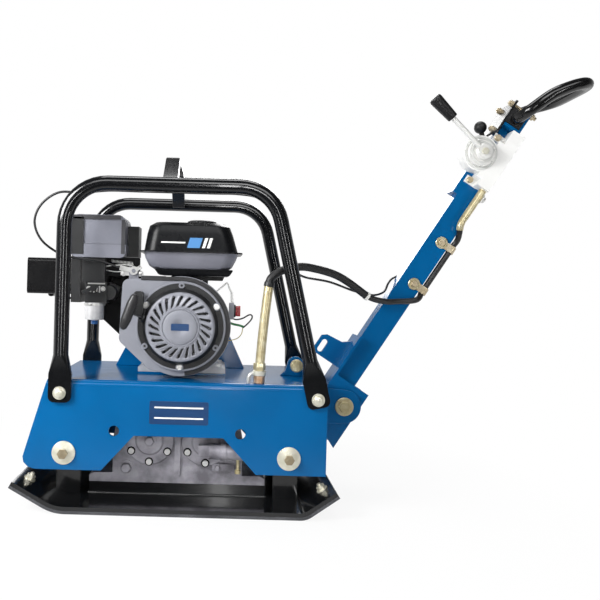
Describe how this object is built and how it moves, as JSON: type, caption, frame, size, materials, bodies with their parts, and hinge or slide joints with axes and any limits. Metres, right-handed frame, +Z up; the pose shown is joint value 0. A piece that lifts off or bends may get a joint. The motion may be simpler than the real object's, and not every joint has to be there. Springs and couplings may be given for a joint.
{
  "type": "reversible plate compactor",
  "caption": "Reversible plate compactor: blue deck on a black base plate with paving mat, engine inside hoops, hydraulic direction lever and folding pole handle with a loop grip.",
  "frame": {"origin": "centre of the flat underside of the paving mat, on the ground", "axes": "+X towards the handle and operator, +Y to the belt guard side, +Z up"},
  "size_m": [1.2157, 0.42, 0.9183],
  "materials": {
    "blue_paint": "gloss",
    "black_paint": "gloss",
    "black_satin": "satin",
    "engine_grey": "satin",
    "mat_rubber": "matte",
    "black_rubber": "matte",
    "cast_grey": "matte",
    "steel": "satin",
    "yellow_zinc": "satin",
    "alloy": "satin",
    "white_paint": "gloss",
    "black_plastic": "satin",
    "grey_plastic": "satin",
    "red_plastic": "gloss"
  },
  "bodies": {
    "machine": {"base_plate": "black_paint", "paving_mat": "mat_rubber", "buffer_posts": "black_paint", "rubber_buffers": "black_rubber", "frame_bolts": "yellow_zinc", "exciter_housing": "cast_grey", "bearing_covers": "cast_grey", "exciter_bearings": "steel", "v_belt": "black_rubber", "shift_cylinder": "alloy", "hydraulic_line": "yellow_zinc", "deck": "blue_paint", "pivot_bracket": "blue_paint", "pivot_bolt": "yellow_zinc", "handle_stop": "black_rubber", "lock_bracket": "blue_paint", "near_hoop": "black_paint", "far_hoop": "black_paint", "lifting_arch": "black_satin", "crankcase": "alloy", "cylinder_head": "black_satin", "cooling_shroud": "black_satin", "fan_cover": "engine_grey", "recoil_cover": "engine_grey", "machine_screws": "steel", "starter_rope": "black_rubber", "fuel_tank": "black_paint", "air_cleaner": "grey_plastic", "carburettor": "alloy", "muffler": "black_satin", "belt_guard": "blue_paint", "hydraulic_hose": "black_rubber", "throttle_cable": "black_rubber", "riser_pipe": "yellow_zinc"},
    "handle": {"handle_post": "blue_paint", "pivot_bushes": "yellow_zinc", "pump_body": "white_paint", "loop_block": "black_rubber", "handle_loop": "black_rubber", "handle_fixings": "yellow_zinc"},
    "direction_lever": {"direction_lever": "steel", "lever_grip": "black_rubber"},
    "rack_piston": {"rack_piston": "steel"},
    "throttle_lever": {"throttle_lever": "black_plastic"},
    "lock_pin": {"lock_pin": "yellow_zinc"},
    "crank": {"crankshaft": "steel", "flywheel": "alloy", "clutch_pulley": "black_satin"},
    "front_exciter": {"front_eccentric": "steel", "front_gear": "steel", "driven_pulley": "black_satin"},
    "rear_exciter": {"rear_eccentric": "steel", "rear_gear": "steel"},
    "shift_piston": {"shift_piston": "steel"},
    "starter_pulley": {"starter_pulley": "black_plastic"},
    "starter_grip": {"starter_grip": "black_plastic"},
    "fuel_cap": {"fuel_cap": "black_plastic"},
    "choke_lever": {"choke_lever": "black_plastic"},
    "throttle_arm": {"throttle_arm": "steel"},
    "engine_switch": {"engine_switch": "red_plastic"}
  },
  "joints": [
    {"name": "handle_tilt", "type": "hinge", "parent": "machine", "child": "handle", "pos_m": [0.356, 0, 0.196], "axis": [0, -1, 0], "range_deg": [0, 32.3], "deforming": ["hydraulic_hose", "throttle_cable"]},
    {"name": "direction_lever_turn", "type": "hinge", "parent": "handle", "child": "direction_lever", "pos_m": [0.63734, 0, 0.75519], "axis": [0, -1, 0], "range_deg": [-35, 35]},
    {"name": "rack_slide", "type": "slide", "parent": "handle", "child": "rack_piston", "axis": [0.5344, 0, 0.8453], "range_m": [-0.0175, 0.0175]},
    {"name": "shift_slide", "type": "slide", "parent": "machine", "child": "shift_piston", "axis": [1, 0, 0], "range_m": [-0.014, 0.014]},
    {"name": "throttle_lever_turn", "type": "hinge", "parent": "handle", "child": "throttle_lever", "pos_m": [0.68064, 0, 0.76568], "axis": [0, -1, 0], "range_deg": [0, 45]},
    {"name": "throttle_arm_turn", "type": "hinge", "parent": "machine", "child": "throttle_arm", "pos_m": [-0.104, 0, 0.478], "axis": [0, -1, 0], "range_deg": [-23, 0]},
    {"name": "lock_pin_slide", "type": "slide", "parent": "machine", "child": "lock_pin", "axis": [0, 1, 0], "range_m": [0, 0.016]},
    {"name": "crank_spin", "type": "hinge", "parent": "machine", "child": "crank", "pos_m": [0, 0, 0.366], "axis": [0, -1, 0], "continuous": true},
    {"name": "front_exciter_spin", "type": "hinge", "parent": "machine", "child": "front_exciter", "pos_m": [-0.058, 0, 0.128], "axis": [0, -1, 0], "continuous": true},
    {"name": "rear_exciter_spin", "type": "hinge", "parent": "machine", "child": "rear_exciter", "pos_m": [0.058, 0, 0.128], "axis": [0, -1, 0], "continuous": true},
    {"name": "starter_pull", "type": "slide", "parent": "machine", "child": "starter_grip", "axis": [-0.6484, -0.6889, 0.3242], "range_m": [0, 0.45], "stiffness_N_per_m": 25, "springref_m": -0.3, "deforming": ["starter_rope"]},
    {"name": "starter_pulley_turn", "type": "hinge", "parent": "machine", "child": "starter_pulley", "pos_m": [0, 0, 0.366], "axis": [0, -1, 0], "range_deg": [0, 760]},
    {"name": "fuel_cap_turn", "type": "hinge", "parent": "machine", "child": "fuel_cap", "pos_m": [0.036, -0.045, 0.584], "axis": [0, 0, 1], "range_deg": [0, 90]},
    {"name": "choke_turn", "type": "hinge", "parent": "machine", "child": "choke_lever", "pos_m": [-0.186, 0, 0.44], "axis": [0, -1, 0], "range_deg": [-70, 0]},
    {"name": "switch_turn", "type": "hinge", "parent": "machine", "child": "engine_switch", "pos_m": [0.109, -0.092, 0.399], "axis": [1, 0, 0], "range_deg": [0, 60]}
  ],
  "couplings": [
    {"joint": "front_exciter_spin", "follows": "crank_spin", "ratio": 0.72414},
    {"joint": "rear_exciter_spin", "follows": "crank_spin", "ratio": -0.72414},
    {"joint": "rack_slide", "follows": "direction_lever_turn", "m_per_rad": 0.028},
    {"joint": "shift_slide", "follows": "direction_lever_turn", "m_per_rad": 0.022},
    {"joint": "throttle_arm_turn", "follows": "throttle_lever_turn", "ratio": -0.5},
    {"joint": "starter_pulley_turn", "follows": "starter_pull", "rad_per_m": 28.571}
  ]
}
